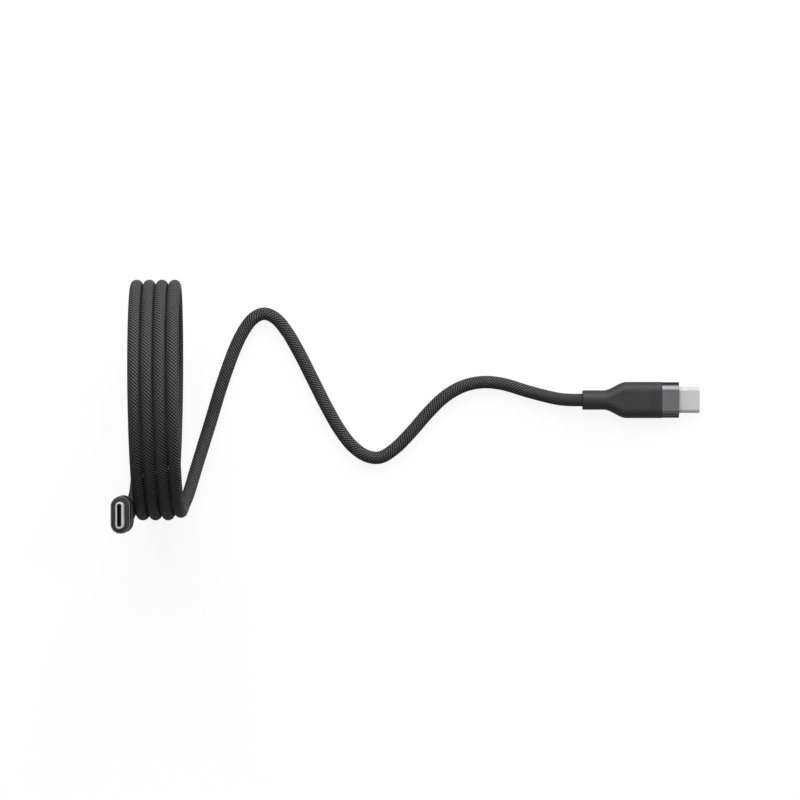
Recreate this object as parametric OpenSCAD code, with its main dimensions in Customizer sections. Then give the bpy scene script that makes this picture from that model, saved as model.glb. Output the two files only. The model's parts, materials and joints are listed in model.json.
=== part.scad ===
// Charging cable with a reversible plug on each end of a braided cord.
// It lies as it is put away: the cord makes four close turns that stand on
// their rim, one plug stands up from the first turn, and the cord's tail waves
// along the table to the other plug.
// Millimetres. +X runs from the turns to the lying plug and +Z is up. The origin
// is on the table, midway between the two plugs.

/* [Cord] */
// Diameter of the cord over its braid
cord_d = 3.9; // [3.4:0.1:4.2]
// Thickness of the braid over the jacket
braid_wall = 0.3; // [0.2:0.05:0.4]

/* [Coil] */
// Number of turns in the coil
coil_turns = 4; // [2:1:6]
// Radius of the coil at the middle of the cord
coil_radius = 35.75; // [30:0.25:42]
// Slack between one turn and the next
turn_gap = 0.05; // [0.05:0.05:1]
// Clearance between the standing plug and the turn beside it
plug_turn_gap = 0.1; // [0.1:0.1:2]
// How far the standing plug stands in from the rim of the coil
plug_inset = 0.5; // [0:0.1:2]
// How far the cord has come in from the rim of the coil where it leaves its last turn
tail_inset = 0.8; // [0:0.1:2]
// Distance over which the cord leans into its first turn and out of its last, in degrees of turn
lead_angle = 40; // [30:5:120]

/* [Lie of the cable] */
// Length from the standing plug's outer face to the lying plug's tip
lay_length = 184.7; // [180:0.1:195]

/* [Plug body] */
// Width of the moulded grip
plug_width = 11.6; // [11.4:0.1:13]
// Thickness of the moulded grip and diameter of its neck
plug_thickness = 6.2; // [6:0.1:7.5]
// Length of the polished collar at the front
collar_length = 5.4; // [4:0.1:8]
// Length of the grip at its full width
grip_length = 11.4; // [10:0.1:16]
// Length over which the grip narrows to its neck
shoulder_length = 7.4; // [6:0.1:12]
// Length of the round neck
neck_length = 6.7; // [5:0.1:12]
// Rounding of the neck's end
neck_edge = 0.25; // [0.1:0.05:0.5]
// How far the collar lies below the grip's surface
collar_step = 0.1; // [0:0.05:0.2]
// Wall of the collar
collar_wall = 0.9; // [0.5:0.05:0.95]
// Rim of the collar round the face plate
collar_rim = 0.35; // [0.2:0.05:0.6]
// Thickness of the face plate
face_plate_length = 1.2; // [0.8:0.1:2]
// How far the face plate lies behind the collar's front edge
face_recess = 0.1; // [0:0.05:0.4]

/* [Plug shell] */
// Width of the steel shell
shell_width = 8.25; // [8:0.05:8.4]
// Thickness of the steel shell
shell_thickness = 2.4; // [2.3:0.05:2.6]
// Length of the shell in front of the collar
shell_length = 6.65; // [6.2:0.05:7.4]
// Length of the shell inside the plug
shell_root = 4.2; // [3.6:0.1:5]
// Wall of the shell
shell_wall = 0.3; // [0.2:0.05:0.35]
// Wall of the thick lip at the shell's mouth
lip_wall = 0.575; // [0.5:0.025:0.65]
// Length of the thick lip
lip_length = 0.5; // [0.3:0.05:0.8]

/* [Contact carrier] */
// Width of the slot that takes the socket's tongue
mouth_width = 6.8; // [6.7:0.05:6.95]
// Height of the slot that takes the socket's tongue
mouth_height = 1.1; // [0.9:0.05:1.15]
// Depth of the slot, from the shell's tip
mouth_depth = 6.2; // [5.8:0.1:6.6]
// Spacing of the contacts
contact_pitch = 0.5; // [0.45:0.01:0.55]
// Width of a contact
contact_width = 0.26; // [0.2:0.01:0.3]
// Thickness of a contact
contact_thickness = 0.12; // [0.08:0.01:0.15]
// Distance from the shell's tip back to the contacts' ends
contact_setback = 2.15; // [2:0.05:3]
// Height of a contact's bend above the middle of the slot
contact_bend = 0.4; // [0.35:0.01:0.45]

/* [Latch and ground springs] */
// Thickness of the latch plate
latch_thickness = 0.2; // [0.15:0.01:0.25]
// Height of the latch arms
latch_height = 0.6; // [0.4:0.05:0.7]
// How far the latch hooks reach into the slot
latch_hook = 0.3; // [0.2:0.05:0.4]
// Thickness of a ground spring
ground_thickness = 0.1; // [0.06:0.01:0.1]
// Length of a ground spring
ground_length = 1.1; // [0.9:0.05:1.2]
// Width of one ground finger
ground_finger = 0.6; // [0.4:0.05:0.9]

/* [Circuit card] */
// Length of the circuit card
card_length = 9.5; // [8:0.1:10.5]
// Width of the circuit card
card_width = 7.2; // [6.8:0.1:7.6]
// Thickness of the circuit card
card_thickness = 0.8; // [0.6:0.05:0.9]
// Side of the marker chip
chip_size = 2; // [1.5:0.1:3]
// Height of the marker chip
chip_height = 0.55; // [0.4:0.05:0.75]
// Length of a capacitor
capacitor_length = 1; // [0.6:0.05:1.6]
// Width and height of a capacitor
capacitor_width = 0.5; // [0.3:0.05:0.7]

/* [Shield case and crimp] */
// Wall of the steel shield case
case_wall = 0.25; // [0.15:0.05:0.3]
// Length behind the card in which the wires spread
wire_room = 2.6; // [2:0.1:4]
// Diameter of a power wire
power_wire_d = 0.8; // [0.6:0.05:0.9]
// Diameter of a signal wire
signal_wire_d = 0.5; // [0.35:0.05:0.55]
// Length of the crimp ring
crimp_length = 4; // [3:0.1:5]
// Wall of the crimp ring
crimp_wall = 0.6; // [0.4:0.05:0.7]

/* [Hidden] */
$fn = 64;

// Clearance between pieces that sit in each other
fit_gap = 0.05;
// Clearance of the smallest pieces in the contact carrier
fine_gap = 0.03;
// Clearance between the shell and the shield case
case_gap = 0.1;
// Least wall of the inner mould beside the shield case
mould_wall = 0.15;
// How far a cut runs past the face that it opens
overcut = 0.2;

// Plug, along its own X: 0 is the collar's front edge and +X is its tip
collar_rear_x = -collar_length;
grip_rear_x = collar_rear_x - grip_length;
neck_front_x = grip_rear_x - shoulder_length;
plug_rear_x = neck_front_x - neck_length;
collar_width = plug_width - 2 * collar_step;
collar_thickness = plug_thickness - 2 * collar_step;
face_plate_rear_x = -face_recess - face_plate_length;

// Contact carrier and what it holds
shell_rear_x = -shell_root;
carrier_width = shell_width - 2 * shell_wall - 2 * fine_gap;
carrier_thickness = shell_thickness - 2 * shell_wall - 2 * fine_gap;
carrier_front_x = shell_length - lip_length - fit_gap;
mouth_floor_x = shell_length - mouth_depth;
contact_front_x = shell_length - contact_setback;
// Height of the contacts' arms above the middle of the slot
arm_z = mouth_height / 2 + fine_gap / 2;
upper_contact_places = [1, 4, 5, 6, 7, 9, 12];
lower_contact_places = [1, 4, 5, 9, 12];
contact_places = 12;
// How far the contacts lie over the card
pad_overlap = 1.2;
// Length of a contact between the card and the carrier, of its sloping arm, and of its nose
contact_lead = 0.4;
contact_slope = 1.2;
contact_nose = 0.5;

// Latch plate: its arms run outside the slot and its bridge is behind the slot's floor
latch_side_gap = 0.195;
latch_outer_y = shell_width / 2 - shell_wall - latch_side_gap;
latch_arm_y = latch_outer_y - latch_thickness;
latch_lead = 0.1;
latch_front_x = contact_front_x + latch_lead;
latch_hook_length = 0.8;
latch_hook_nose = latch_hook_length / 3;
latch_bridge_setback = 2.2;
latch_bridge_front_x = mouth_floor_x - latch_bridge_setback;

// Ground springs: a plate in a pocket at the mouth, with three fingers
ground_setback = 0.2;
ground_front_x = carrier_front_x - ground_setback;
ground_rear_x = ground_front_x - ground_length;
ground_top_gap = 0.01;
ground_z = carrier_thickness / 2 - ground_thickness - ground_top_gap;
ground_side_gap = 0.125;
ground_width = carrier_width - carrier_thickness - 2 * ground_side_gap;
ground_finger_y = [-1.8, 0, 1.8];
ground_bend_z = 0.46;
// A ground finger from its free end: where it starts, where it bends, how far its end
// turns away from the slot, and where it joins the plate
finger_end = 0.1;
finger_bend = 0.4;
finger_lift = 0.08;
finger_root = 0.15;

// Circuit card, wires and shield case
card_front_x = shell_rear_x - case_gap;
card_rear_x = card_front_x - card_length;
// How far the shield case and the shell overlap
case_overlap = 1;
case_front_x = shell_rear_x + case_overlap;
case_rear_x = card_rear_x - wire_room;
wire_gap = 0.02;
wire_stack = card_thickness / 2 + wire_gap + power_wire_d + wire_gap;
case_inner_width = max(shell_width + 2 * case_gap, card_width + 2 * case_gap);
case_inner_height = max(shell_thickness + 2 * case_gap, 2 * wire_stack);
case_width = case_inner_width + 2 * case_wall;
case_height = case_inner_height + 2 * case_wall;
// The collar's bore leaves room for the shield case in the inner mould
case_room = 2 * (fine_gap + mould_wall + fit_gap);
collar_bore_width = max(collar_width - 2 * collar_wall, case_width + case_room);
collar_bore_thickness = max(collar_thickness - 2 * collar_wall, case_height + case_room);
// The face plate lies in a recess of the collar
recess_width = collar_width - 2 * collar_rim;
recess_thickness = collar_thickness - 2 * collar_rim;
// Distance from the contacts' ends to the middle of the capacitors and of the marker chip
capacitor_setback = 1.5;
chip_setback = 3.2;
power_wire_y = 0.55;
power_wire_z = 0.45;
power_pad_y = 1.9;
signal_wire_y = [-0.9, -0.3, 0.3, 0.9];
signal_wire_z = -0.55;
signal_pad_y = [-2.4, -0.8, 0.8, 2.4];
wire_straight = 0.45;
wire_on_pad = 1.2;
wire_sides = 12;

// Cord's end inside the plug
jacket_d = cord_d - 2 * braid_wall;
jacket_front_x = case_rear_x - fit_gap;
crimp_front_x = jacket_front_x - fit_gap;
crimp_rear_x = crimp_front_x - crimp_length;
braid_front_x = crimp_rear_x - fit_gap;
crimp_bore_d = jacket_d + 2 * fit_gap;
crimp_d = crimp_bore_d + 2 * crimp_wall;
// How far the shield case's rear wall reaches over the jacket's end
case_lip = 0.15;
case_hole_d = jacket_d - 2 * case_lip;

// Coil: its axis is level and runs along X
turn_pitch = cord_d + turn_gap;
coil_axis_y = (coil_radius - plug_inset) / 2;
coil_axis_z = coil_radius + cord_d / 2;
standing_plug_x = -lay_length / 2 + plug_thickness / 2;
standing_plug_y = coil_axis_y - coil_radius + plug_inset;
standing_neck_z = coil_axis_z + cord_d;
coil_start_x = standing_plug_x + plug_thickness / 2 + plug_turn_gap + cord_d / 2 - turn_pitch;
coil_end_x = coil_start_x + coil_turns * turn_pitch;
rings_per_turn = 24;
coil_sides = 6;

// Lying plug
lying_plug_x = lay_length / 2 - shell_length;
lying_plug_y = coil_axis_y;
lying_neck_x = lying_plug_x + plug_rear_x;

// Route of the cord's tail: it peels off the last turn, comes down to the table
// and waves along it to the lying plug
peel_points = [
    [-71.9, -15.5, 25.5], [-70.9, -12.6, 19], [-69.9, -8.7, 13.4], [-68.8, -4.5, 9.5],
    [-67.6, -0.3, 6.8], [-66.3, 4.2, 4.6], [-65.1, 8.2, 3.2], [-63.7, 12.9, 2.2]
];
wave_points = [
    [-62.3, 17.7], [-58.9, 28], [-56.1, 35.3], [-53.7, 40], [-50.8, 43.8], [-47.3, 45.5],
    [-43.7, 44], [-40.3, 40.1], [-36.3, 33.4], [-31.7, 24.3], [-27.1, 15.2], [-22.9, 7.9],
    [-18.5, 2.4], [-14.1, -0.5], [-10.3, -1], [-6.2, 1.3], [-0.6, 6.7], [5.6, 13.8],
    [11.1, 19], [16.9, 22.2], [23.2, 23.4], [29.7, 22.7], [35.9, 20.8], [42.9, 18.9]
];
rise_point = [47.5, 17.9, 2.6];
tail_sides = 8;
// The tail's flat sides are this far out, so that its lowest one lies on the table
tail_corner_r = cord_d / 2 / cos(180 / tail_sides);

// ---- Shapes that repeat ----

// Outline with straight long sides and half-round ends
module obround(width, thickness) {
    square([width - thickness, thickness], center = true);
    for (side = [-1, 1]) {
        translate([side * (width - thickness) / 2, 0]) circle(d = thickness);
    }
}

// Stretches an outline drawn across the plug from x0 to x1
module along_plug(x0, x1) {
    translate([x0, 0, 0]) rotate([90, 0, 90]) linear_extrude(x1 - x0) children();
}

// Extrudes an outline drawn in X and Z by a width centred on Y
module across_plug(width) {
    rotate([90, 0, 0]) linear_extrude(width, center = true) children();
}

module block(low, high) {
    translate(low) cube(high - low);
}

module at_standing_plug() {
    translate([standing_plug_x, standing_plug_y, standing_neck_z - plug_rear_x])
        rotate([0, -90, 0]) children();
}

module at_lying_plug() {
    translate([lying_plug_x, lying_plug_y, plug_thickness / 2]) children();
}

// Outline of a bent strip of even thickness, from the points of its lower side
function strip(points, thickness) = concat(
    points,
    [for (i = [len(points) - 1:-1:0]) points[i] + [0, thickness]]
);

function unit(v) = v / norm(v);

// Ring of a tube square to its way, with flat sides towards up
function ring_about(centre, way, up, radius, sides) =
    let (across = unit(cross(up, way)), upright = cross(way, across))
    [for (k = [0:sides - 1]) let (turn = (k + 0.5) * 360 / sides)
        centre + radius * (cos(turn) * across + sin(turn) * upright)];

// Faces of a closed tube through rings of points, as triangles
function tube_faces(rings, sides) = concat(
    [for (k = [1:sides - 2]) [0, k, k + 1]],
    [for (r = [0:rings - 2]) for (k = [0:sides - 1]) let (n = (k + 1) % sides)
        each [[r * sides + k, (r + 1) * sides + k, (r + 1) * sides + n],
              [r * sides + k, (r + 1) * sides + n, r * sides + n]]],
    [for (k = [1:sides - 2]) let (last = (rings - 1) * sides) [last, last + k + 1, last + k]]
);

module tube(rings) {
    sides = len(rings[0]);
    polyhedron(points = [for (ring = rings) each ring], faces = tube_faces(len(rings), sides));
}

// ---- Grip ----

grip_end_steps = 12;
shoulder_steps = 12;

// Width of the grip where it narrows: share is 0 at the neck and 1 at full width
function shoulder_width(share) =
    plug_thickness + (plug_width - plug_thickness) * share * share * (3 - 2 * share);

// Points round the grip at x. Its flat facets touch the true outline, so that the
// grip is exactly as wide and as thick as its sizes say
function grip_ring(x, width, thickness) =
    let (r = thickness / 2 / cos(90 / grip_end_steps))
    [for (side = [1, -1]) for (k = [0:grip_end_steps - 1])
        let (angle = (k + 0.5) * 180 / grip_end_steps - 90 * side)
        [x, side * (width - thickness) / 2 + r * cos(angle), r * sin(angle)]];

function grip_rings() = concat(
    [grip_ring(plug_rear_x, plug_thickness - 2 * neck_edge, plug_thickness - 2 * neck_edge)],
    [grip_ring(plug_rear_x + neck_edge / 3, plug_thickness - neck_edge, plug_thickness - neck_edge)],
    [grip_ring(plug_rear_x + neck_edge, plug_thickness, plug_thickness)],
    [for (k = [0:shoulder_steps]) let (share = k / shoulder_steps)
        grip_ring(neck_front_x + share * shoulder_length, shoulder_width(share), plug_thickness)],
    [grip_ring(collar_rear_x, plug_width, plug_thickness)]
);

module grip() {
    color([0.16, 0.16, 0.165]) difference() {
        tube(grip_rings());
        along_plug(case_rear_x - fit_gap, collar_rear_x + overcut)
            obround(collar_bore_width, collar_bore_thickness);
        along_plug(crimp_rear_x - fit_gap, case_rear_x) circle(d = crimp_d + 2 * fit_gap);
        along_plug(plug_rear_x - overcut, crimp_rear_x) circle(d = cord_d + 2 * fit_gap);
    }
}

// ---- Plug front ----

module collar() {
    color([0.33, 0.33, 0.34]) difference() {
        along_plug(collar_rear_x, 0) obround(collar_width, collar_thickness);
        along_plug(collar_rear_x - overcut, overcut) obround(collar_bore_width, collar_bore_thickness);
        along_plug(face_plate_rear_x - fit_gap, overcut) obround(recess_width, recess_thickness);
    }
}

module face_plate() {
    color([0.12, 0.12, 0.13]) along_plug(face_plate_rear_x, -face_recess) difference() {
        obround(recess_width - 2 * fit_gap, recess_thickness - 2 * fit_gap);
        obround(shell_width + 2 * fit_gap, shell_thickness + 2 * fit_gap);
    }
}

module shell() {
    color([0.82, 0.82, 0.83]) difference() {
        along_plug(shell_rear_x, shell_length) obround(shell_width, shell_thickness);
        along_plug(shell_rear_x - overcut, shell_length - lip_length)
            obround(shell_width - 2 * shell_wall, shell_thickness - 2 * shell_wall);
        along_plug(mouth_floor_x, shell_length + overcut)
            obround(shell_width - 2 * lip_wall, shell_thickness - 2 * lip_wall);
    }
}

// ---- Contact carrier ----

function contact_y(place) = (place - (contact_places + 1) / 2) * contact_pitch;

// Cut for one row of contacts, on the side that z_side points to
module contact_grooves(places, z_side) {
    groove_width = contact_width + 2 * fine_gap;
    groove_z = arm_z + contact_thickness + fine_gap;
    for (place = places) {
        mirror([0, 0, z_side < 0 ? 1 : 0]) block(
            [shell_rear_x - overcut, contact_y(place) - groove_width / 2, mouth_height / 2 - fine_gap],
            [contact_front_x + fine_gap, contact_y(place) + groove_width / 2, groove_z]
        );
    }
}

// Pocket and finger windows for one ground spring
module ground_spring_cut() {
    block(
        [ground_rear_x - fine_gap, -ground_width / 2 - fine_gap, ground_z - fine_gap / 2],
        [carrier_front_x + overcut, ground_width / 2 + fine_gap, carrier_thickness]
    );
    for (y = ground_finger_y) {
        block(
            [ground_rear_x - fine_gap, y - ground_finger / 2 - fine_gap, 0],
            [ground_front_x, y + ground_finger / 2 + fine_gap, carrier_thickness]
        );
    }
}

module latch_cut() {
    cut_half_height = latch_height / 2 + fine_gap;
    bridge_half_height = latch_thickness / 2 + fine_gap;
    for (side = [0, 1]) {
        mirror([0, side, 0]) {
            block(
                [shell_rear_x - overcut, latch_arm_y - 2 * fine_gap, -cut_half_height],
                [latch_front_x + fine_gap, carrier_width, cut_half_height]
            );
            block(
                [mouth_floor_x, (mouth_width - mouth_height) / 2, -cut_half_height],
                [latch_front_x + fine_gap, latch_arm_y, cut_half_height]
            );
        }
    }
    block(
        [shell_rear_x - overcut, -latch_arm_y, -bridge_half_height],
        [latch_bridge_front_x + fine_gap, latch_arm_y, bridge_half_height]
    );
}

module contact_carrier() {
    color([0.09, 0.09, 0.1]) difference() {
        along_plug(shell_rear_x, carrier_front_x) obround(carrier_width, carrier_thickness);
        along_plug(mouth_floor_x, carrier_front_x + overcut) obround(mouth_width, mouth_height);
        contact_grooves(upper_contact_places, 1);
        contact_grooves(lower_contact_places, -1);
        ground_spring_cut();
        mirror([0, 0, 1]) ground_spring_cut();
        latch_cut();
    }
}

// One row of contacts, above the card
module contact_row(places) {
    pad_z = card_thickness / 2;
    bend_x = contact_front_x - contact_nose;
    outline = strip([
        [card_front_x - pad_overlap, pad_z], [card_front_x - contact_lead, pad_z],
        [shell_rear_x - fit_gap, arm_z], [bend_x - contact_slope, arm_z], [bend_x, contact_bend],
        [contact_front_x, arm_z]
    ], contact_thickness);
    for (place = places) {
        translate([0, contact_y(place), 0]) across_plug(contact_width) polygon(outline);
    }
}

module upper_contacts() {
    color([0.85, 0.66, 0.3]) contact_row(upper_contact_places);
}

module lower_contacts() {
    color([0.85, 0.66, 0.3]) mirror([0, 0, 1]) contact_row(lower_contact_places);
}

module latch_plate() {
    color([0.72, 0.72, 0.74]) {
        block(
            [shell_rear_x, -latch_outer_y, -latch_thickness / 2],
            [latch_bridge_front_x, latch_outer_y, latch_thickness / 2]
        );
        for (side = [0, 1]) {
            mirror([0, side, 0]) translate([0, 0, -latch_height / 2]) linear_extrude(latch_height)
                polygon([
                    [shell_rear_x, latch_arm_y], [latch_front_x - latch_hook_length, latch_arm_y],
                    [latch_front_x - latch_hook_nose, latch_arm_y - latch_hook],
                    [latch_front_x, latch_arm_y], [latch_front_x, latch_outer_y],
                    [shell_rear_x, latch_outer_y]
                ]);
        }
    }
}

module ground_spring() {
    outline = strip([
        [ground_rear_x + finger_end, ground_bend_z + finger_lift],
        [ground_rear_x + finger_bend, ground_bend_z], [ground_front_x - finger_root, ground_z]
    ], ground_thickness);
    block(
        [ground_front_x - ground_length, -ground_width / 2, ground_z],
        [ground_front_x, ground_width / 2, ground_z + ground_thickness]
    );
    for (y = ground_finger_y) {
        translate([0, y, 0]) across_plug(ground_finger) polygon(outline);
    }
}

module upper_ground_spring() {
    color([0.74, 0.74, 0.76]) ground_spring();
}

module lower_ground_spring() {
    color([0.74, 0.74, 0.76]) mirror([0, 0, 1]) ground_spring();
}

// ---- Circuit card and wires ----

module circuit_card() {
    color([0.07, 0.3, 0.16]) block(
        [card_rear_x, -card_width / 2, -card_thickness / 2],
        [card_front_x, card_width / 2, card_thickness / 2]
    );
}

module capacitors() {
    capacitor_x = card_front_x - pad_overlap - capacitor_setback;
    color([0.62, 0.5, 0.36]) for (side = [-1, 1]) {
        translate([capacitor_x, side * card_width / 3, (card_thickness + capacitor_width) / 2])
            cube([capacitor_length, capacitor_width, capacitor_width], center = true);
    }
}

module marker_chip() {
    chip_x = card_front_x - pad_overlap - chip_setback;
    color([0.1, 0.1, 0.11])
        translate([chip_x, 0, (card_thickness + chip_height) / 2])
        cube([chip_size, chip_size, chip_height], center = true);
}

// A wire leaves the cord straight, spreads, and lies on its pad on the card
module wire(cord_y, cord_z, pad_y, pad_z, diameter) {
    route = [
        [jacket_front_x, cord_y, cord_z], [jacket_front_x + wire_straight, cord_y, cord_z],
        [card_rear_x - fit_gap, pad_y, pad_z], [card_rear_x + wire_on_pad, pad_y, pad_z]
    ];
    ways = [[1, 0, 0], unit(route[2] - route[0]), unit(route[3] - route[1]), [1, 0, 0]];
    tube([for (i = [0:3]) ring_about(route[i], ways[i], [0, 0, 1], diameter / 2, wire_sides)]);
}

module power_wires() {
    pad_z = card_thickness / 2 + wire_gap + power_wire_d / 2;
    color([0.7, 0.1, 0.08]) for (side = [-1, 1]) {
        wire(side * power_wire_y, power_wire_z, side * power_pad_y, pad_z, power_wire_d);
    }
}

module signal_wires() {
    pad_z = -card_thickness / 2 - wire_gap - signal_wire_d / 2;
    color([0.85, 0.85, 0.8]) for (i = [0:len(signal_wire_y) - 1]) {
        wire(signal_wire_y[i], signal_wire_z, signal_pad_y[i], pad_z, signal_wire_d);
    }
}

// ---- Shield case, inner mould and crimp ----

// Half of the shield case above the card
module shield_case_half() {
    difference() {
        along_plug(case_rear_x, case_front_x) obround(case_width, case_height);
        along_plug(case_rear_x + case_wall, case_front_x + overcut)
            obround(case_inner_width, case_inner_height);
        along_plug(case_rear_x - overcut, case_rear_x + case_wall + overcut) circle(d = case_hole_d);
        block(
            [case_rear_x - overcut, -case_width, -case_height],
            [case_front_x + overcut, case_width, fine_gap / 2]
        );
    }
}

module upper_shield_case() {
    color([0.7, 0.7, 0.72]) shield_case_half();
}

module lower_shield_case() {
    color([0.7, 0.7, 0.72]) mirror([0, 0, 1]) shield_case_half();
}

module inner_mould() {
    color([0.86, 0.85, 0.8]) difference() {
        along_plug(case_rear_x, face_plate_rear_x - fit_gap)
            obround(collar_bore_width - 2 * fit_gap, collar_bore_thickness - 2 * fit_gap);
        along_plug(case_rear_x - overcut, case_front_x + fit_gap)
            obround(case_width + 2 * fine_gap, case_height + 2 * fine_gap);
        along_plug(case_front_x, face_plate_rear_x + overcut)
            obround(shell_width + 2 * fit_gap, shell_thickness + 2 * fit_gap);
    }
}

module crimp_ring() {
    color([0.75, 0.68, 0.5]) along_plug(crimp_rear_x, crimp_front_x) difference() {
        circle(d = crimp_d);
        circle(d = crimp_bore_d);
    }
}

module cord_end() {
    color([0.14, 0.14, 0.15]) {
        along_plug(plug_rear_x, braid_front_x) circle(d = cord_d);
        along_plug(braid_front_x, jacket_front_x) circle(d = jacket_d);
    }
}

// ---- Cord ----

function smooth_step(share) = share * share * (3 - 2 * share);

// Place of the cord along the coil's axis after it has turned by angle
function coil_x(angle) =
    let (turned_x = coil_start_x + turn_pitch * angle / 360)
    angle < lead_angle
        ? standing_plug_x + (turned_x - standing_plug_x) * smooth_step(angle / lead_angle)
        : turned_x;

// Distance of the cord from the coil's axis after it has turned by angle
function coil_reach(angle) =
    coil_radius
    - plug_inset * (1 - smooth_step(min(angle / lead_angle, 1)))
    - tail_inset * smooth_step(max(1 - (coil_end_angle - angle) / lead_angle, 0));

// Ring of the cord round a centre. The radial direction points away from the
// coil's axis, and the ring's flats face along that axis
function coil_ring(centre, angle) =
    [for (k = [0:coil_sides - 1]) let (turn = (k + 0.5) * 360 / coil_sides)
        centre + cord_d / 2 * (cos(turn) * [1, 0, 0]
            + sin(turn) * [0, -cos(angle), -sin(angle)])];

function coil_centre(angle) =
    [coil_x(angle), coil_axis_y, coil_axis_z] - coil_reach(angle) * [0, cos(angle), sin(angle)];

coil_end_angle = 360 * coil_turns;

// The cord enters and leaves the coil straight, for one diameter
function coil_rings() = concat(
    [coil_ring([standing_plug_x, standing_plug_y, standing_neck_z], 0)],
    [for (i = [0:coil_turns * rings_per_turn]) let (angle = i * 360 / rings_per_turn)
        coil_ring(coil_centre(angle), angle)],
    [coil_ring(coil_centre(coil_end_angle) - [0, 0, cord_d], coil_end_angle)]
);

// Least distance between the points of rings that are half a turn or more apart
function least_gap(rings) = min([
    for (i = [0:len(rings) - 1]) for (j = [i + rings_per_turn / 2:1:len(rings) - 1])
        for (p = rings[i]) for (q = rings[j]) norm(p - q)
]);

module cord_coil() {
    rings = coil_rings();
    echo(least_gap_between_turns = least_gap(rings));
    color([0.15, 0.15, 0.16]) tube(rings);
}

// Centres of the tail's rings, from the coil's end to the lying plug's neck
tail_start = coil_centre(coil_end_angle) - [0, 0, cord_d];
tail_end = [lying_neck_x, lying_plug_y, plug_thickness / 2];
tail_route = concat(
    [tail_start],
    peel_points,
    [for (p = wave_points) [p.x, p.y, cord_d / 2]],
    [rise_point, tail_end - [cord_d, 0, 0], tail_end]
);

// Direction of the tail at one of its points
function tail_way(i) =
    i == 0 ? [0, 0, -1]
    : i >= len(tail_route) - 2 ? [1, 0, 0]
    : unit(tail_route[i + 1] - tail_route[i - 1]);

// Side of the tail that faces the coil's axis as it comes down, and that faces up on the table
function tail_up(i) =
    let (p = tail_route[i])
    i <= len(peel_points) ? [0, coil_axis_y - p.y, coil_axis_z - p.z] : [0, 0, 1];

function tail_ring(i) =
    ring_about(tail_route[i], tail_way(i), tail_up(i), tail_corner_r, tail_sides);

module cord_tail() {
    color([0.15, 0.15, 0.16]) tube([for (i = [0:len(tail_route) - 1]) tail_ring(i)]);
}

// ---- Nodes ----

at_standing_plug() grip();  // coil_plug_grip
at_standing_plug() collar();  // coil_plug_collar
at_standing_plug() face_plate();  // coil_plug_face_plate
at_standing_plug() shell();  // coil_plug_shell
at_standing_plug() contact_carrier();  // coil_plug_contact_carrier
at_standing_plug() upper_contacts();  // coil_plug_upper_contacts
at_standing_plug() lower_contacts();  // coil_plug_lower_contacts
at_standing_plug() latch_plate();  // coil_plug_latch_plate
at_standing_plug() upper_ground_spring();  // coil_plug_upper_ground_spring
at_standing_plug() lower_ground_spring();  // coil_plug_lower_ground_spring
at_standing_plug() circuit_card();  // coil_plug_circuit_card
at_standing_plug() capacitors();  // coil_plug_capacitors
at_standing_plug() upper_shield_case();  // coil_plug_upper_shield_case
at_standing_plug() lower_shield_case();  // coil_plug_lower_shield_case
at_standing_plug() power_wires();  // coil_plug_power_wires
at_standing_plug() signal_wires();  // coil_plug_signal_wires
at_standing_plug() inner_mould();  // coil_plug_inner_mould
at_standing_plug() crimp_ring();  // coil_plug_crimp_ring
at_standing_plug() cord_end();  // coil_plug_cord_end

at_lying_plug() grip();  // tail_plug_grip
at_lying_plug() collar();  // tail_plug_collar
at_lying_plug() face_plate();  // tail_plug_face_plate
at_lying_plug() shell();  // tail_plug_shell
at_lying_plug() contact_carrier();  // tail_plug_contact_carrier
at_lying_plug() upper_contacts();  // tail_plug_upper_contacts
at_lying_plug() lower_contacts();  // tail_plug_lower_contacts
at_lying_plug() latch_plate();  // tail_plug_latch_plate
at_lying_plug() upper_ground_spring();  // tail_plug_upper_ground_spring
at_lying_plug() lower_ground_spring();  // tail_plug_lower_ground_spring
at_lying_plug() circuit_card();  // tail_plug_circuit_card
at_lying_plug() capacitors();  // tail_plug_capacitors
at_lying_plug() marker_chip();  // tail_plug_marker_chip
at_lying_plug() upper_shield_case();  // tail_plug_upper_shield_case
at_lying_plug() lower_shield_case();  // tail_plug_lower_shield_case
at_lying_plug() power_wires();  // tail_plug_power_wires
at_lying_plug() signal_wires();  // tail_plug_signal_wires
at_lying_plug() inner_mould();  // tail_plug_inner_mould
at_lying_plug() crimp_ring();  // tail_plug_crimp_ring
at_lying_plug() cord_end();  // tail_plug_cord_end

cord_coil();
cord_tail();
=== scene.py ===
"""Charging cable: a braided cord with a moulded plug on each end.

The cord makes four turns that stand on their rim and then waves along the table.
Lengths on the cord and the plugs are in millimetres until a mesh is placed. All others
are in metres.
"""

import json
import math

import bmesh
import bpy
import numpy as np
from mathutils import Matrix, Vector


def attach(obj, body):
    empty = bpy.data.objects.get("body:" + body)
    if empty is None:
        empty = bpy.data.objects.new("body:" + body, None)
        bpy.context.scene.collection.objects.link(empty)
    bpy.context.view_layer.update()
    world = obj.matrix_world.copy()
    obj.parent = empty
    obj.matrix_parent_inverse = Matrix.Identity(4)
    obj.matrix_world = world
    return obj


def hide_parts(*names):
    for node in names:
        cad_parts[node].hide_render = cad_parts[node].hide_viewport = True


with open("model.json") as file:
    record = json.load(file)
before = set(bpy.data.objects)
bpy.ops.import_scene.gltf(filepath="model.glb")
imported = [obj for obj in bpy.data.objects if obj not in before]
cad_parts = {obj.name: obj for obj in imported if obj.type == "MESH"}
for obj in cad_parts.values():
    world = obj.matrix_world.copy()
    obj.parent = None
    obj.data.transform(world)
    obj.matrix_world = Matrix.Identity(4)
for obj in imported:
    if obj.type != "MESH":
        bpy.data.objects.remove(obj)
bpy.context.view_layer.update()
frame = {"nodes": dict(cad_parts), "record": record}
scene = bpy.context.scene

MM = 0.001


# ---- Camera ----

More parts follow.
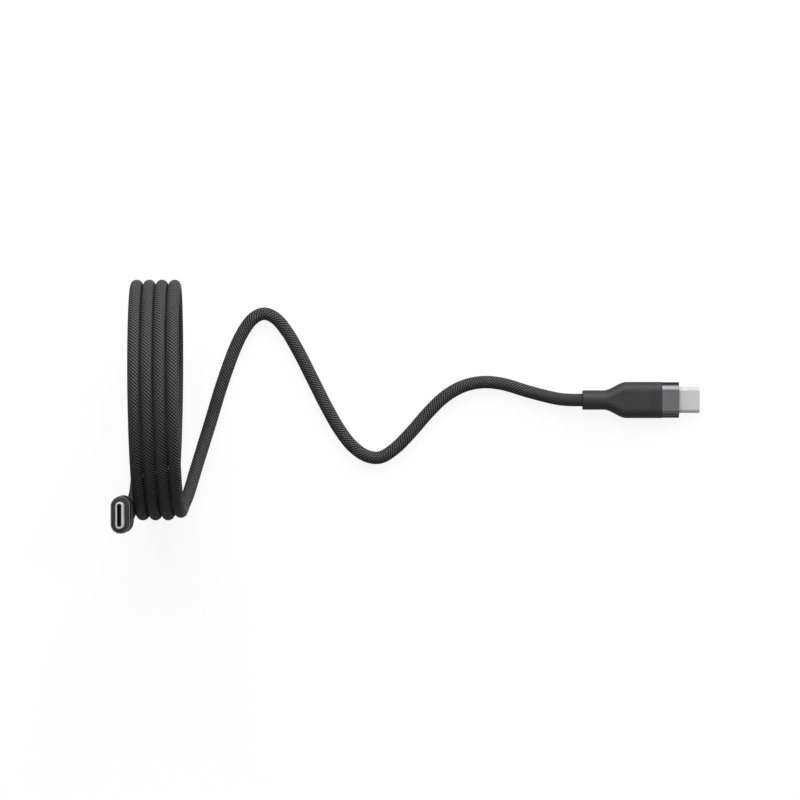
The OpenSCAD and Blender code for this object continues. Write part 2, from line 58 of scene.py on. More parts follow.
SENSOR_WIDTH = 36.0
LENS = 215.775
CAMERA_PLACE = (-0.00365, 0.017625, 1.54)


def set_camera():
    """Looks straight down on the table from a long way off."""
    data = bpy.data.cameras.new("camera")
    data.sensor_width = SENSOR_WIDTH
    data.lens = LENS
    data.clip_end = 10.0
    camera = bpy.data.objects.new("camera", data)
    camera.location = CAMERA_PLACE
    scene.collection.objects.link(camera)
    scene.camera = camera


set_camera()


# ---- Route of the cord ----

CORD_D = 3.9
# How far the braid's crowns stand out of that size, less where the turns press together
COIL_PROUD = 0.03
TAIL_PROUD = 0.11
COIL_RADIUS = 35.75
COIL_TURNS = 4
TURN_PITCH = 3.95
# Over so many degrees the cord comes from the plug to its place in the coil, and leaves it
# again for the tail. At both ends it lies a little nearer to the coil's middle
LEAD_ANGLE = 40
PLUG_INSET = 0.5
TAIL_INSET = 0.8
COIL_Y = 17.625
COIL_Z = COIL_RADIUS + CORD_D / 2 + COIL_PROUD
COIL_START_X = -88.05
# Each plug's place is the middle of its collar's front edge
STANDING_PLUG = (-89.25, -17.625, 72.5)
STANDING_NECK_Z = 41.6
LYING_PLUG = (85.7, 17.625, 3.1)
LYING_NECK_X = 54.8
# How finely the line is drawn: degrees in the coil, lengths and points in the tail, and the
# number of points on each side over which the tail's bends are evened out
COIL_STEP = 0.5
STRAIGHT_STEPS = 8
TAIL_STEP = 0.3
TAIL_POINTS = 800
EASE_REACH = 12
# The way down from the coil, along the table and up to the lying plug's neck
PEEL_POINTS = [
    (-71.9, -15.5, 25.5), (-70.9, -12.6, 19), (-69.9, -8.7, 13.4), (-68.8, -4.5, 9.5),
    (-67.6, -0.3, 6.8), (-66.3, 4.2, 4.6), (-65.1, 8.2, 3.2), (-63.7, 12.9, 2.2),
]
WAVE_POINTS = [
    (-62.3, 17.7), (-58.9, 28), (-56.1, 35.3), (-53.7, 40), (-50.8, 43.8), (-47.3, 45.5),
    (-43.7, 44), (-40.3, 40.1), (-36.3, 33.4), (-31.7, 24.3), (-27.1, 15.2), (-22.9, 7.9),
    (-18.5, 2.4), (-14.1, -0.5), (-10.3, -1), (-6.2, 1.3), (-0.6, 6.7), (5.6, 13.8),
    (11.1, 19), (16.9, 22.2), (23.2, 23.4), (29.7, 22.7), (35.9, 20.8), (42.9, 18.9),
]
RISE_POINT = (47.5, 17.9, 2.6)


def smooth_step(share):
    """Share held between 0 and 1 and eased at both ends."""
    share = min(max(share, 0.0), 1.0)
    return share * share * (3 - 2 * share)


def coil_point(angle):
    """Middle of the cord after it has turned by angle, in degrees, round the coil."""
    turned_x = COIL_START_X + TURN_PITCH * angle / 360
    lean = smooth_step(angle / LEAD_ANGLE)
    x = STANDING_PLUG[0] + (turned_x - STANDING_PLUG[0]) * lean
    reach = COIL_RADIUS - PLUG_INSET * (1 - lean)
    reach -= TAIL_INSET * smooth_step(1 - (360 * COIL_TURNS - angle) / LEAD_ANGLE)
    turn = math.radians(angle)
    return Vector((x, COIL_Y - reach * math.cos(turn), COIL_Z - reach * math.sin(turn)))


def through(points, step):
    """Points about a step apart on a smooth line through the given ones.

    The first and the last point only steer the line."""
    points = [Vector(p) for p in points]
    at = [0.0]
    for a, b in zip(points, points[1:]):
        at.append(at[-1] + (b - a).length)
    slopes = []
    for i in range(1, len(points) - 1):
        before, after = at[i] - at[i - 1], at[i + 1] - at[i]
        in_slope = (points[i] - points[i - 1]) / before
        out_slope = (points[i + 1] - points[i]) / after
        slopes.append((in_slope * after + out_slope * before) / (before + after))
    line = []
    for i in range(1, len(points) - 2):
        span = at[i + 1] - at[i]
        p, q, v, w = points[i], points[i + 1], slopes[i - 1] * span, slopes[i] * span
        steps = max(2, round(span / step))
        for k in range(steps):
            t = k / steps
            line.append(
                p * (2 * t**3 - 3 * t**2 + 1) + v * (t**3 - 2 * t**2 + t)
                + q * (3 * t**2 - 2 * t**3) + w * (t**3 - t**2)
            )
    line.append(points[-2])
    return line


def distances(line):
    """How far along the line each of its points lies."""
    return np.concatenate([[0.0], np.cumsum(np.linalg.norm(np.diff(line, axis=0), axis=1))])


def spaced(line, places):
    """Points of the line at the given distances along it."""
    along = distances(line)
    return np.stack([np.interp(places, along, line[:, k]) for k in range(3)], axis=1)


def evenly(points, count):
    """The line through the points again, as count points the same distance apart."""
    line = np.array([tuple(p) for p in points])
    return spaced(line, np.linspace(0.0, distances(line)[-1], count))


def relaxed(line, reach):
    """Evens out the bends of a line of evenly spaced points, and keeps its ends."""
    weights = np.hanning(2 * reach + 1)
    weights /= weights.sum()
    ends = np.concatenate([
        2 * line[0] - line[reach:0:-1], line, 2 * line[-1] - line[-2:-reach - 2:-1],
    ])
    return np.stack([np.convolve(ends[:, k], weights, mode="valid") for k in range(3)], axis=1)


def cord_line():
    """The whole middle line of the cord, from the standing plug to the lying one."""
    neck = Vector((STANDING_PLUG[0], STANDING_PLUG[1], STANDING_NECK_Z))
    coil = [neck + (coil_point(0) - neck) * k / STRAIGHT_STEPS for k in range(STRAIGHT_STEPS)]
    coil_steps = round(360 * COIL_TURNS / COIL_STEP)
    coil += [coil_point(COIL_STEP * k) for k in range(coil_steps + 1)]
    leave = coil_point(360 * COIL_TURNS)
    start = leave - Vector((0, 0, CORD_D))
    coil += [leave + (start - leave) * k / STRAIGHT_STEPS for k in range(1, STRAIGHT_STEPS + 1)]
    end = Vector((LYING_NECK_X, LYING_PLUG[1], LYING_PLUG[2]))
    straight = Vector((CORD_D, 0, 0))
    lying_z = CORD_D / 2 + TAIL_PROUD
    wave = [(x, y, lying_z) for x, y in WAVE_POINTS]
    tail = through(
        [leave, start, *PEEL_POINTS, *wave, RISE_POINT, end - straight, end, end + straight],
        TAIL_STEP,
    )
    tail = relaxed(evenly(tail, TAIL_POINTS), EASE_REACH)
    tail[:, 2] = np.maximum(tail[:, 2], lying_z)
    return np.array([tuple(p) for p in coil] + tail[1:].tolist())


# ---- Braid ----

BRAID_RIBS = 10
STEPS_PER_RIB = 3
SIDES = STEPS_PER_RIB * BRAID_RIBS
# Distance from rib to rib along the cord. The braid is stretched a little in the coil, and
# closes up over some length behind it
COIL_RIB_PERIOD = 1.06
TAIL_RIB_PERIOD = 0.9
PERIOD_FADE = 60
# Depth of the grooves between ribs, and how much of it a crossing yarn presses in
RELIEF = 0.07
DENT_SHARE = 0.4
# The baking map lays the cord in strips one above the other
BAKE_STRIPS = 10
BAKE_MARGIN = 0.06
BAKE_SIDE = 0.005
# Each end's triangles share one small place on both maps
CAP_LAY = [(0, 0), (0.1, 0), (0, 0.1)]
CAP_BAKE = [(0.001, 0.001), (0.002, 0.001), (0.001, 0.002)]
# The path worked out along the cord takes every fourth ring, and is not kept
PATH_RINGS = 4
# Squared change of direction below which the cord counts as straight
NO_TURN = 1e-14


def turning_frames(line):
    """For each point of the line its direction and two directions across it that never
    spin about it, so the braid runs on without a twist of its own."""
    ways = np.gradient(line, axis=0)
    ways /= np.linalg.norm(ways, axis=1)[:, None]
    across = np.zeros_like(line)
    side = np.cross(ways[0], (1.0, 0.0, 0.0))
    across[0] = side / np.linalg.norm(side)
    for i in range(len(line) - 1):
        step = line[i + 1] - line[i]
        size = step @ step
        moved = across[i] - 2 / size * (step @ across[i]) * step
        turned = ways[i] - 2 / size * (step @ ways[i]) * step
        rest = ways[i + 1] - turned
        size = rest @ rest
        across[i + 1] = moved if size < NO_TURN else moved - 2 / size * (rest @ moved) * rest
    return ways, across, np.cross(ways, across)


def coil_to_tail(place, coil_value, tail_value):
    """A value that changes where the coil ends, at a distance along the cord."""
    share = smooth_step((place - 2 * math.pi * COIL_RADIUS * COIL_TURNS) / PERIOD_FADE)
    return coil_value + (tail_value - coil_value) * share


def ring_places(length):
    """Distances along the cord of its rings, each a third of a rib from the next."""
    places = [0.0]
    while places[-1] < length:
        period = coil_to_tail(places[-1], COIL_RIB_PERIOD, TAIL_RIB_PERIOD)
        places.append(places[-1] + period / STEPS_PER_RIB)
    return np.array(places) * (length / places[-1])


def braided_cord():
    """The cord as one closed tube. Its points lie on the crowns and in the grooves of the
    braid's ribs, and the map named lay counts ribs along and round it."""
    route = cord_line()
    length = float(distances(route)[-1])
    places = ring_places(length)
    rings = len(places)
    line = spaced(route, places)
    ways, across, up = turning_frames(line)
    ring = np.arange(rings)[:, None]
    side = np.arange(SIDES)[None, :]
    crown = 0.5 + 0.5 * np.cos(2 * math.pi * (ring + side) / STEPS_PER_RIB)
    dent = 0.5 + 0.5 * np.cos(2 * math.pi * (ring - side) / STEPS_PER_RIB)
    proud = np.array([coil_to_tail(place, COIL_PROUD, TAIL_PROUD) for place in places])
    radius = CORD_D / 2 + proud[:, None] - RELIEF * (1 - crown * (1 - DENT_SHARE * dent))
    turn = 2 * math.pi * side / SIDES
    points = line[:, None, :] + radius[:, :, None] * (
        np.cos(turn)[:, :, None] * across[:, None, :] + np.sin(turn)[:, :, None] * up[:, None, :]
    )
    points = points.reshape(-1, 3) * MM

    # Every square is cut along the ribs
    faces, lay, bake = [], [], []
    per_strip = math.ceil((rings - 1) / BAKE_STRIPS)
    for r in range(rings - 1):
        strip = r // per_strip
        for s in range(SIDES):
            a, b, c, d = (r, s), (r, s + 1), (r + 1, s + 1), (r + 1, s)
            for corners in ((d, b, a), (d, c, b)):
                faces.append(tuple(i * SIDES + j % SIDES for i, j in corners))
                for along, round_it in corners:
                    lay.append((along / STEPS_PER_RIB, round_it / STEPS_PER_RIB))
                    share = (along - strip * per_strip) / per_strip
                    across_strip = BAKE_SIDE + (1 - 2 * BAKE_SIDE) * share
                    height = BAKE_MARGIN / 2 + (1 - BAKE_MARGIN) * round_it / SIDES
                    bake.append((across_strip, (strip + height) / BAKE_STRIPS))

    # A fan of triangles closes each end
    near_end = range(SIDES)
    far_end = range(rings * SIDES - 1, (rings - 1) * SIDES - 1, -1)
    for end in (near_end, far_end):
        for k in range(1, SIDES - 1):
            faces.append((end[0], end[k], end[k + 1]))
            lay += CAP_LAY
            bake += CAP_BAKE

    mesh = bpy.data.meshes.new("braided_cord")
    mesh.from_pydata(points.tolist(), [], faces)
    for name, values in (("lay", lay), ("OFBake", bake)):
        layer = mesh.uv_layers.new(name=name)
        layer.data.foreach_set("uv", np.array(values, dtype=np.float32).ravel())
    mesh.shade_smooth()
    cord = bpy.data.objects.new("braided_cord", mesh)
    scene.collection.objects.link(cord)
    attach(cord, "root")
    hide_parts("cord_coil", "cord_tail")
    path = line[::PATH_RINGS] * MM
    if (rings - 1) % PATH_RINGS:
        path = np.concatenate([path, line[-1:] * MM])
    return cord


cord = braided_cord()


# ---- Mesh helpers ----

ARC_STEPS = 20
# Where the straight sides of an outline have points, as shares of half their length
STRAIGHT_SHARES = (0.97, 0.5, 0.0, -0.5, -0.97)
# A round outline keeps this much of a straight side
LEAST_STRAIGHT = 0.04
# Face or side that is added beside a rounded edge, to keep its shading flat
EDGE_LAND = 0.05


def obround(width, thickness):
    """Points round an outline with two straight sides and half-round ends."""
    half = max(width - thickness, LEAST_STRAIGHT) / 2
    radius = thickness / 2
    points = []
    for side in (1, -1):
        for k in range(ARC_STEPS + 1):
            turn = math.radians(-90 + 180 * k / ARC_STEPS)
            points.append((side * (half + radius * math.cos(turn)), side * radius * math.sin(turn)))
        for share in STRAIGHT_SHARES:
            points.append((side * half * share, side * radius))
    return points


def grown(size, by):
    """Width and thickness with the same length added to both."""
    return size[0] + by, size[1] + by


def rounded(x, size, radius, turn_in, steps=4):
    """Rings of a rounded edge between a face square to the plug and a side along it.

    turn_in is +1 where the side lies behind the edge and -1 where it lies in front."""
    rings = [(x - turn_in * (radius + EDGE_LAND), *size)]
    for k in range(steps + 1):
        turn = math.radians(90 * k / steps)
        inset = 2 * radius * (1 - math.cos(turn))
        back = turn_in * radius * (1 - math.sin(turn))
        rings.append((x - back, *grown(size, -inset)))
    return rings


def looped(rings):
    """A closed ring-shaped solid in bmesh: one outline is extruded from ring to ring, over
    the outside and back through the bore, and the last is joined to the first."""
    bm = bmesh.new()
    x, width, thickness = rings[0]
    verts = [bm.verts.new((x, y, z)) for y, z in obround(width, thickness)]
    first = edges = [bm.edges.new((v, w)) for v, w in zip(verts, verts[1:] + verts[:1])]
    for x, width, thickness in rings[1:]:
        made = bmesh.ops.extrude_edge_only(bm, edges=edges)["geom"]
        fresh = {g for g in made if isinstance(g, bmesh.types.BMVert)}
        near = [[e.other_vert(v) for e in v.link_edges] for v in verts]
        verts = [next(v for v in choice if v in fresh) for choice in near]
        edges = [bm.edges.get((v, w)) for v, w in zip(verts, verts[1:] + verts[:1])]
        for v, (y, z) in zip(verts, obround(width, thickness)):
            v.co = (x, y, z)
    bmesh.ops.bridge_loops(bm, edges=first + edges)
    bmesh.ops.recalc_face_normals(bm, faces=bm.faces)
    return bm


# An edge that turns by more than this is drawn sharp
SHARP_ANGLE = math.radians(40)
PLACES = {
    "tail_plug": Matrix.Translation(LYING_PLUG),
    "coil_plug": Matrix.Translation(STANDING_PLUG) @ Matrix.Rotation(math.radians(-90), 4, "Y"),
}


def finished(bm, plug, node, slot):
    """Places a plug piece made along X, gives it its finish and lets it stand for its node."""
    for face in bm.faces:
        face.smooth = True
    for edge in bm.edges:
        if edge.calc_face_angle(0) > SHARP_ANGLE:
            edge.smooth = False
    bmesh.ops.transform(bm, matrix=Matrix.Scale(MM, 4) @ PLACES[plug], verts=bm.verts)
    name = f"{node}_finished"
    mesh = bpy.data.meshes.new(name)
    bm.to_mesh(mesh)
    bm.free()
    mesh.materials.append(FINISHES[slot])
    piece = bpy.data.objects.new(name, mesh)
    scene.collection.objects.link(piece)
    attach(piece, "root")
    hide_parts(node)


# ---- Plug pieces ----

# Places along the plug are counted from the collar's front edge, forward. Sizes are width
# and thickness
PLUG_WIDTH = 11.6
PLUG_THICKNESS = 6.2
GRIP_ROUND = 0.12
GRIP_REAR_X = -16.8
SHOULDER_STEPS = 20
NECK_FRONT_X = -24.2
NECK_ROUND = 0.25
PLUG_REAR_X = -30.9
BORE_SIZE = (9.6, 4.2)
CASE_REAR_X = -16.45
CRIMP_REAR_X = -20.55
CRIMP_BORE_D = 4.7
NECK_BORE_D = 4.0

COLLAR_SIZE = (11.4, 6.0)
COLLAR_LENGTH = 5.4
COLLAR_ROUND = 0.07
# The hairline groove round the collar, as places and how much smaller the collar is there
GROOVE = ((-1.2, 0.0), (-1.19, 0.06), (-1.11, 0.06), (-1.1, 0.0))
RECESS_SIZE = (10.7, 5.3)
RECESS_REAR_X = -1.35
RECESS_BEVEL = 0.04
RECESS_BEVEL_X = (-0.02, -0.06)

FACE_FRONT_X = -0.1
FACE_REAR_X = -1.3
FACE_PLAY = 0.1
FACE_ROUND = 0.08
FACE_BEVEL = 0.1

SHELL_SIZE = (8.25, 2.4)
SHELL_LENGTH = 6.65
SHELL_REAR_X = -4.2
SHELL_WALL = 0.3
SHELL_ROUND = 0.32
LIP_WALL = 0.575
LIP_LENGTH = 0.5
LIP_ROLL = 0.18
LIP_STEPS = 3


def grip_rings():
    """Neck, shoulder and grip outside, then back through the room for the shield case."""
    neck = (PLUG_THICKNESS, PLUG_THICKNESS)
    rings = rounded(PLUG_REAR_X, neck, NECK_ROUND, -1)[::-1]
    for k in range(SHOULDER_STEPS + 1):
        share = k / SHOULDER_STEPS
        width = PLUG_THICKNESS + (PLUG_WIDTH - PLUG_THICKNESS) * smooth_step(share)
        rings.append((NECK_FRONT_X + share * (GRIP_REAR_X - NECK_FRONT_X), width, PLUG_THICKNESS))
    rings += rounded(-COLLAR_LENGTH, (PLUG_WIDTH, PLUG_THICKNESS), GRIP_ROUND, 1)
    rings += [(-COLLAR_LENGTH, *BORE_SIZE), (CASE_REAR_X, *BORE_SIZE)]
    rings += [(x, CRIMP_BORE_D, CRIMP_BORE_D) for x in (CASE_REAR_X, CRIMP_REAR_X)]
    rings += [(x, NECK_BORE_D, NECK_BORE_D) for x in (CRIMP_REAR_X, PLUG_REAR_X)]
    return rings


def collar_rings():
    """Polished band with softened front edges, a hairline groove round it and a recess in
    its front for the face plate."""
    rings = [(-COLLAR_LENGTH, *COLLAR_SIZE)]
    rings += [(x, *grown(COLLAR_SIZE, -inset)) for x, inset in GROOVE]
    rings += rounded(0, COLLAR_SIZE, COLLAR_ROUND, 1)
    rings += [(RECESS_BEVEL_X[0], *grown(RECESS_SIZE, RECESS_BEVEL))]
    rings += [(x, *RECESS_SIZE) for x in (RECESS_BEVEL_X[1], RECESS_REAR_X)]
    rings += [(x, *BORE_SIZE) for x in (RECESS_REAR_X, -COLLAR_LENGTH)]
    return rings


def face_plate_rings():
    """Plate round the shell, a little behind the collar's front edge."""
    outer = grown(RECESS_SIZE, -FACE_PLAY)
    inner = grown(SHELL_SIZE, FACE_PLAY)
    rings = [(FACE_REAR_X, *outer)]
    rings += rounded(FACE_FRONT_X, outer, FACE_ROUND, 1)
    rings += [(FACE_FRONT_X, *grown(inner, FACE_BEVEL))]
    rings += [(x, *inner) for x in (FACE_FRONT_X - FACE_BEVEL / 2, FACE_REAR_X)]
    return rings


def shell_rings():
    """Drawn steel shell with a rolled lip round the mouth."""
    rings = [(SHELL_REAR_X, *SHELL_SIZE)]
    rings += rounded(SHELL_LENGTH, SHELL_SIZE, SHELL_ROUND, 1, steps=6)
    mouth = grown(SHELL_SIZE, -2 * LIP_WALL)
    for k in range(LIP_STEPS + 1):
        turn = math.radians(90 * k / LIP_STEPS)
        x = SHELL_LENGTH - LIP_ROLL * (1 - math.cos(turn))
        rings.append((x, *grown(mouth, 2 * LIP_ROLL * (1 - math.sin(turn)))))
    lip_rear_x = SHELL_LENGTH - LIP_LENGTH
    inside = grown(SHELL_SIZE, -2 * SHELL_WALL)
    rings += [(lip_rear_x, *mouth), (lip_rear_x, *inside), (SHELL_REAR_X, *inside)]
    return rings


# ---- Finishes ----

# Near black painted shade for the grooves between the ribs and the crossings, and the yarn's own
# colour on the crowns
YARN_SHADE_PAINTED = (0.002, 0.002, 0.002)
YARN_LIGHT = (0.138, 0.138, 0.139)
# Grains per metre
MOULDED_GRAIN = 7000.0
METAL_GRAIN = 5000.0
SPECKLE_GRAIN = 5200.0
WEAVE_COUNT = 2200.0
# Height of the relief, in metres
YARN_RELIEF = 0.00011
MOULDED_RELIEF = 0.000006
METAL_RELIEF = 0.0000015
SPECKLE_RELIEF = 0.000008
WEAVE_RELIEF = 0.00001


def add(tree, kind, feed=None, **settings):
    """Adds a shader node with its settings, and links or sets the named inputs."""
    made = tree.nodes.new("ShaderNode" + kind)
    for key, value in settings.items():
        setattr(made, key, value)
    for key, value in (feed or {}).items():
        if isinstance(value, bpy.types.NodeSocket):
            tree.links.new(value, made.inputs[key])
        else:
            made.inputs[key].default_value = value
    return made


def calc(tree, operation, *values):
    """Result of a Math node."""
    return add(tree, "Math", dict(enumerate(values)), operation=operation).outputs[0]


def plus(tree, value, extra, share):
    """Value with a share of another one added."""
    return calc(tree, "ADD", value, calc(tree, "MULTIPLY", extra, share))


def weighted(tree, one, one_share, two, two_share):
    """Sum of two values, each times its own share."""
    return plus(tree, calc(tree, "MULTIPLY", one, one_share), two, two_share)


def remap(tree, value, low, high, to_low=0.0, to_high=1.0):
    """Value moved smoothly from one range to another and held inside it."""
    feed = {"Value": value, "From Min": low, "From Max": high, "To Min": to_low, "To Max": to_high}
    return add(tree, "MapRange", feed, interpolation_type="SMOOTHSTEP").outputs["Result"]


def blend(tree, share, one, two):
    """Colour between two others."""
    feed = {"Factor": share, 6: (*one, 1.0), 7: (*two, 1.0)}
    return add(tree, "Mix", feed, data_type="RGBA").outputs[2]


def start(name, **constants):
    """New material with one Principled shader whose constants are on its own sockets."""
    material = bpy.data.materials.new(name)
    material.use_nodes = True
    tree = material.node_tree
    tree.nodes.clear()
    shader = add(tree, "BsdfPrincipled", {k.replace("_", " "): v for k, v in constants.items()})
    add(tree, "OutputMaterial", {"Surface": shader.outputs[0]})
    return material, tree, shader


def stretched(tree, scale):
    """Object coordinates times a scale along each axis."""
    place = add(tree, "TexCoord").outputs["Object"]
    return add(tree, "Mapping", {"Vector": place, "Scale": scale}).outputs[0]


def grain(tree, scale, detail, roughness=0.5, stretch=(1.0, 1.0, 1.0)):
    """Noise on object coordinates, with scale in grains per metre."""
    feed = {
        "Vector": stretched(tree, stretch), "Scale": scale,
        "Detail": detail, "Roughness": roughness,
    }
    return add(tree, "TexNoise", feed).outputs["Fac"]


def cover(tree, shader, colour, rough):
    """Links the colour and the roughness that change over the surface."""
    tree.links.new(colour, shader.inputs["Base Color"])
    tree.links.new(rough, shader.inputs["Roughness"])


def raise_surface(tree, shader, height, distance, strength=1.0):
    """Bumps the surface by a height from 0 to 1 times the distance."""
    bump = add(tree, "Bump", {"Height": height, "Distance": distance, "Strength": strength})
    tree.links.new(bump.outputs[0], shader.inputs["Normal"])


def braid_finish():
    """Woven yarn: ribs that wind round the cord, broken into beads where the other yarns
    cross under them, each rib made of fine filaments. The grooves between the ribs and the
    crossings are coloured near black: painted shade."""
    material, tree, shader = start("braided_yarn", IOR=1.5, Specular_IOR_Level=0.15)
    lay = add(tree, "UVMap", uv_map="lay").outputs[0]
    split = add(tree, "SeparateXYZ", {0: lay})
    along, round_it = split.outputs[0], split.outputs[1]
    ribs = calc(tree, "ADD", along, round_it)
    crossings = calc(tree, "SUBTRACT", along, round_it)
    from_crown = calc(tree, "PINGPONG", ribs, 0.5)
    from_crossing = calc(tree, "PINGPONG", crossings, 0.5)
    rib = remap(tree, from_crown, 0.4, 0.08)
    dent = remap(tree, from_crossing, 0.3, 0.02)
    whole = calc(tree, "SUBTRACT", 1.0, calc(tree, "MULTIPLY", dent, 0.7))
    bead = calc(tree, "MULTIPLY", rib, whole)
    filament = calc(tree, "PINGPONG", calc(tree, "MULTIPLY", ribs, 5.0), 0.5)
    fuzz = add(tree, "TexNoise", {"Vector": lay, "Scale": 6.0, "Detail": 2.0}).outputs["Fac"]
    height = plus(tree, plus(tree, bead, filament, 0.12), fuzz, 0.08)
    raise_surface(tree, shader, height, YARN_RELIEF, 0.8)
    # Crowns in the yarn's colour, grooves and crossings painted near black as shade, with the
    # filaments' stripes and some fuzz
    tint = weighted(tree, bead, 0.86, filament, 0.16)
    tint = plus(tree, tint, calc(tree, "SUBTRACT", fuzz, 0.5), 0.3)
    rough = remap(tree, bead, 0.0, 1.0, 0.9, 0.36)
    cover(tree, shader, blend(tree, tint, YARN_SHADE_PAINTED, YARN_LIGHT), rough)
    return material


def moulded_finish(name, colour, rough, scale=MOULDED_GRAIN):
    """Moulded plastic with a fine eroded grain and a faint cloudiness."""
    material, tree, shader = start(name, IOR=1.46, Specular_IOR_Level=0.38)
    fine = grain(tree, scale, 2.0)
    broad = grain(tree, 260.0, 3.0)
    light = tuple(min(1.0, c * 1.16) for c in colour)
    dark = tuple(c * 0.86 for c in colour)
    share = remap(tree, weighted(tree, broad, 0.6, fine, 0.4), 0.3, 0.7)
    uneven = remap(tree, fine, 0.3, 0.7, rough - 0.06, rough + 0.06)
    cover(tree, shader, blend(tree, share, dark, light), uneven)
    raise_surface(tree, shader, fine, MOULDED_RELIEF)
    return material


def metal_finish(name, colour, rough, edge=None, lines=0.0, wear=1.0):
    """Metal with a fine grain, soft blotches in its gloss and, if wanted, drawing lines.

    edge is the tint of what it reflects at a flat angle."""
    material, tree, shader = start(name, Metallic=1.0)
    if edge is not None:
        shader.inputs["Specular Tint"].default_value = (*edge, 1.0)
    fine = grain(tree, METAL_GRAIN, 3.0)
    blotch = grain(tree, 700.0, 4.0)
    dull = tuple(c * (1 - 0.12 * wear) for c in colour)
    mixed = weighted(tree, fine, 0.5, blotch, 0.5)
    uneven = remap(tree, mixed, 0.35, 0.65, rough - 0.05 * wear, rough + 0.06 * wear)
    cover(tree, shader, blend(tree, remap(tree, blotch, 0.3, 0.7), dull, colour), uneven)
    if lines:
        drawn = grain(tree, METAL_GRAIN, 2.0, stretch=(0.03, 1.0, 1.0))
        fine = plus(tree, fine, drawn, lines)
    raise_surface(tree, shader, fine, METAL_RELIEF * wear)
    return material


def speckled_finish(name, dark, light):
    """Dark filled plastic with pale specks."""
    material, tree, shader = start(name, IOR=1.48)
    specks = grain(tree, SPECKLE_GRAIN, 2.0, 0.6)
    broad = remap(tree, grain(tree, 900.0, 3.0), 0.3, 0.6, 0.5, 1.0)
    share = calc(tree, "MULTIPLY", remap(tree, specks, 0.46, 0.66), broad)
    rough = remap(tree, specks, 0.35, 0.65, 0.6, 0.42)
    cover(tree, shader, blend(tree, share, dark, light), rough)
    raise_surface(tree, shader, specks, SPECKLE_RELIEF)
    return material


def laminate_finish():
    """Circuit laminate: glass weave under green lacquer."""
    material, tree, shader = start("card_laminate", IOR=1.5, Coat_Weight=0.5, Coat_Roughness=0.15)
    split = add(tree, "SeparateXYZ", {0: stretched(tree, (WEAVE_COUNT,) * 3)})
    warp = calc(tree, "PINGPONG", split.outputs[0], 0.5)
    weft = calc(tree, "PINGPONG", split.outputs[1], 0.5)
    depth = calc(tree, "PINGPONG", split.outputs[2], 0.5)
    weave = calc(tree, "MULTIPLY", calc(tree, "ADD", warp, calc(tree, "ADD", weft, depth)), 0.7)
    cloud = grain(tree, 900.0, 3.0)
    share = weighted(tree, weave, 0.6, cloud, 0.4)
    colour = blend(tree, share, (0.012, 0.075, 0.03), (0.035, 0.17, 0.07))
    cover(tree, shader, colour, remap(tree, cloud, 0.3, 0.7, 0.35, 0.5))
    raise_surface(tree, shader, weave, WEAVE_RELIEF)
    return material


FINISHES = {
    "cord_braid": braid_finish(),
    "grip_plastic": moulded_finish("grip_plastic", (0.0275, 0.0275, 0.0285), 0.5),
    "collar_metal": metal_finish(
        "collar_metal", (0.115, 0.115, 0.118), 0.14, edge=(0.0, 0.0, 0.0), wear=0.3,
    ),
    "face_plastic": speckled_finish("face_plastic", (0.006, 0.006, 0.007), (0.042, 0.042, 0.044)),
    "shell_steel": metal_finish("shell_steel", (0.585, 0.585, 0.59), 0.74, wear=0.3),
    "carrier_plastic": moulded_finish("carrier_plastic", (0.011, 0.011, 0.012), 0.5),
    "contact_gold": metal_finish("contact_gold", (0.83, 0.62, 0.26), 0.24, lines=0.6),
    # Spring steel is coloured much darker than bare steel: painted shade for the latch ends that
    # sit in the carrier's slot.
    "spring_steel": metal_finish("spring_steel", (0.2, 0.2, 0.203), 0.34, lines=0.8),
    "card_laminate": laminate_finish(),
    "capacitor_ceramic": moulded_finish("capacitor_ceramic", (0.42, 0.3, 0.18), 0.5, scale=9000.0),
    "chip_epoxy": speckled_finish("chip_epoxy", (0.014, 0.014, 0.015), (0.05, 0.05, 0.052)),
    "case_steel": metal_finish("case_steel", (0.55, 0.55, 0.56), 0.34, lines=1.0),
    "power_insulation": moulded_finish("power_insulation", (0.45, 0.03, 0.02), 0.4),
    "signal_insulation": moulded_finish("signal_insulation", (0.7, 0.7, 0.66), 0.4),
    "mould_plastic": moulded_finish("mould_plastic", (0.68, 0.66, 0.6), 0.5),
    "crimp_brass": metal_finish("crimp_brass", (0.6, 0.5, 0.3), 0.32, lines=0.6),
    "cord_jacket": moulded_finish("cord_jacket", (0.02, 0.02, 0.021), 0.62),
}

cord.data.materials.append(FINISHES["cord_braid"])

SHAPES = (
    ("grip", grip_rings, "grip_plastic"),
    ("collar", collar_rings, "collar_metal"),
    ("face_plate", face_plate_rings, "face_plastic"),
    ("shell", shell_rings, "shell_steel"),
)
for plug in PLACES:
    for part, rings, slot in SHAPES:
        finished(looped(rings()), plug, f"{plug}_{part}", slot)

# The pieces that keep their own solids get the finish of their slot in the record. The
# cord's ends inside the plugs have lost their braid, so they get the jacket's
SLOT_OF = {row["node"]: row["material_slot"] for row in frame["record"]["subparts"]}
for name, piece in frame["nodes"].items():
    finish = FINISHES["cord_jacket" if name.endswith("cord_end") else SLOT_OF[name]]
    for place in piece.material_slots:
        place.material = finish


# ---- Table and light ----

TABLE_HALF = 4.0
# The table ends before the main panel's light does
TABLE_BACK_Y = 1.25
# It lies a little under the object, so that the two never fight for a pixel
TABLE_Z = -0.00002
# Brightness that only the camera sees, and the paint that the lamps light, for the object's
# underside and for what the object reflects
TABLE_GLOW = 0.88
TABLE_PAINT = (0.16, 0.16, 0.16)
TABLE_PAINT_REFLECTED = (0.62, 0.62, 0.62)

# The room's brightness for the object, and what the camera and a reflection see besides
ROOM_GLOW = 0.05
ROOM_SEEN = 0.95
ROOM_REFLECTED = 0.25

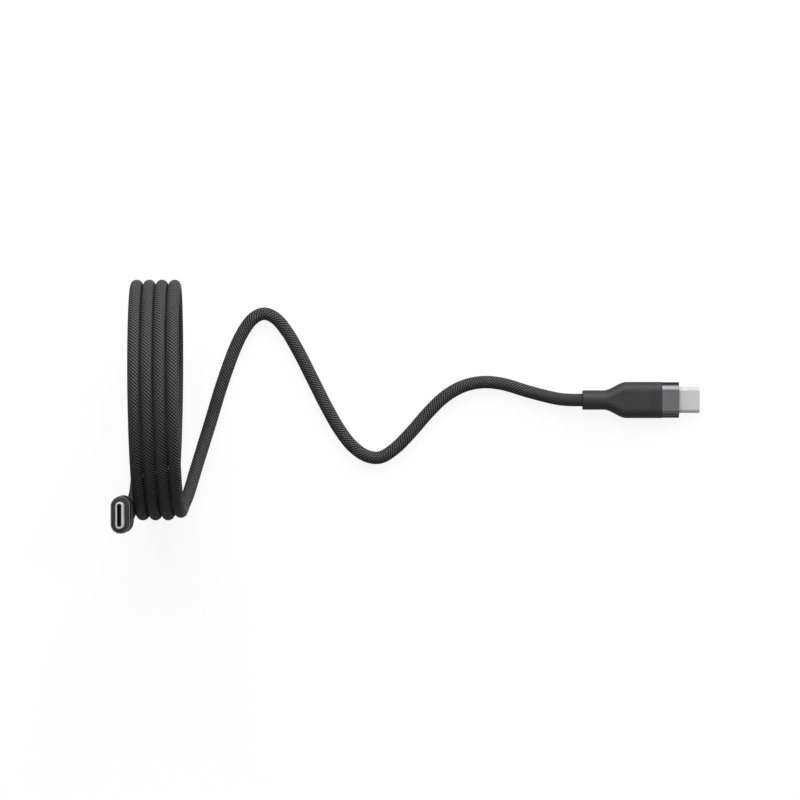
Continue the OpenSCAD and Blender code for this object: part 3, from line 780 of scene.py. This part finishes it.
# Each lamp's name, place, aim, size and radiance
LAMPS = (
    ("main_panel", (-0.05, 0.88, 0.66), (-0.05, 0.0, 0.1), (1.0, 1.04), 4.4),
    ("top_panel", (-0.05, -0.05, 1.5), (-0.05, -0.05, 0.0), (0.8, 1.9), 1.02),
    ("side_panel", (0.95, 0.55, 0.2), (-0.03, 0.0, 0.05), (0.4, 0.3), 18.0),
    ("front_strip", (0.05, -1.0, 0.75), (0.05, 0.0, 0.0), (0.9, 0.5), 0.5),
)


def kinds_of_ray(tree):
    """Whether a ray comes straight from the camera, and whether from a reflection."""
    rays = add(tree, "LightPath").outputs
    seen = calc(tree, "MAXIMUM", rays["Is Camera Ray"], rays["Is Transmission Ray"])
    return seen, rays["Is Glossy Ray"]


def table():
    """White table. It lights the object's underside little, and keeps its shadow."""
    bm = bmesh.new()
    bmesh.ops.create_grid(bm, x_segments=1, y_segments=1, size=TABLE_HALF)
    for vert in bm.verts:
        vert.co.y = min(vert.co.y, TABLE_BACK_Y)
    mesh = bpy.data.meshes.new("table")
    bm.to_mesh(mesh)
    bm.free()
    floor = bpy.data.objects.new("table", mesh)
    floor.location.z = TABLE_Z
    scene.collection.objects.link(floor)
    material = bpy.data.materials.new("table_white")
    material.use_nodes = True
    tree = material.node_tree
    tree.nodes.clear()
    seen, reflected = kinds_of_ray(tree)
    strength = calc(tree, "MULTIPLY", seen, TABLE_GLOW)
    glow = add(tree, "Emission", {"Color": (1, 1, 1, 1), "Strength": strength})
    colour = blend(tree, reflected, TABLE_PAINT, TABLE_PAINT_REFLECTED)
    paint = add(tree, "BsdfDiffuse", {"Color": colour})
    both = add(tree, "AddShader", {0: glow.outputs[0], 1: paint.outputs[0]})
    add(tree, "OutputMaterial", {"Surface": both.outputs[0]})
    mesh.materials.append(material)


def soft_light(name, place, aim, size, radiance):
    """Flat lamp whose surface is as bright as radiance says."""
    data = bpy.data.lights.new(name, "AREA")
    data.shape = "RECTANGLE"
    data.size, data.size_y = size
    data.energy = radiance * math.pi * size[0] * size[1]
    lamp = bpy.data.objects.new(name, data)
    lamp.location = place
    lamp.rotation_euler = (Vector(aim) - Vector(place)).to_track_quat("-Z", "Y").to_euler()
    scene.collection.objects.link(lamp)


def light():
    """A room that looks white but lights the object little, and the soft lamps in it."""
    world = bpy.data.worlds.new("room")
    world.use_nodes = True
    tree = world.node_tree
    seen, reflected = kinds_of_ray(tree)
    strength = calc(tree, "ADD", calc(tree, "MULTIPLY", seen, ROOM_SEEN), ROOM_GLOW)
    strength = plus(tree, strength, reflected, ROOM_REFLECTED)
    background = tree.nodes["Background"]
    background.inputs["Color"].default_value = (1, 1, 1, 1)
    tree.links.new(strength, background.inputs["Strength"])
    scene.world = world
    for lamp in LAMPS:
        soft_light(*lamp)


table()
light()
scene.view_settings.view_transform = "Standard"
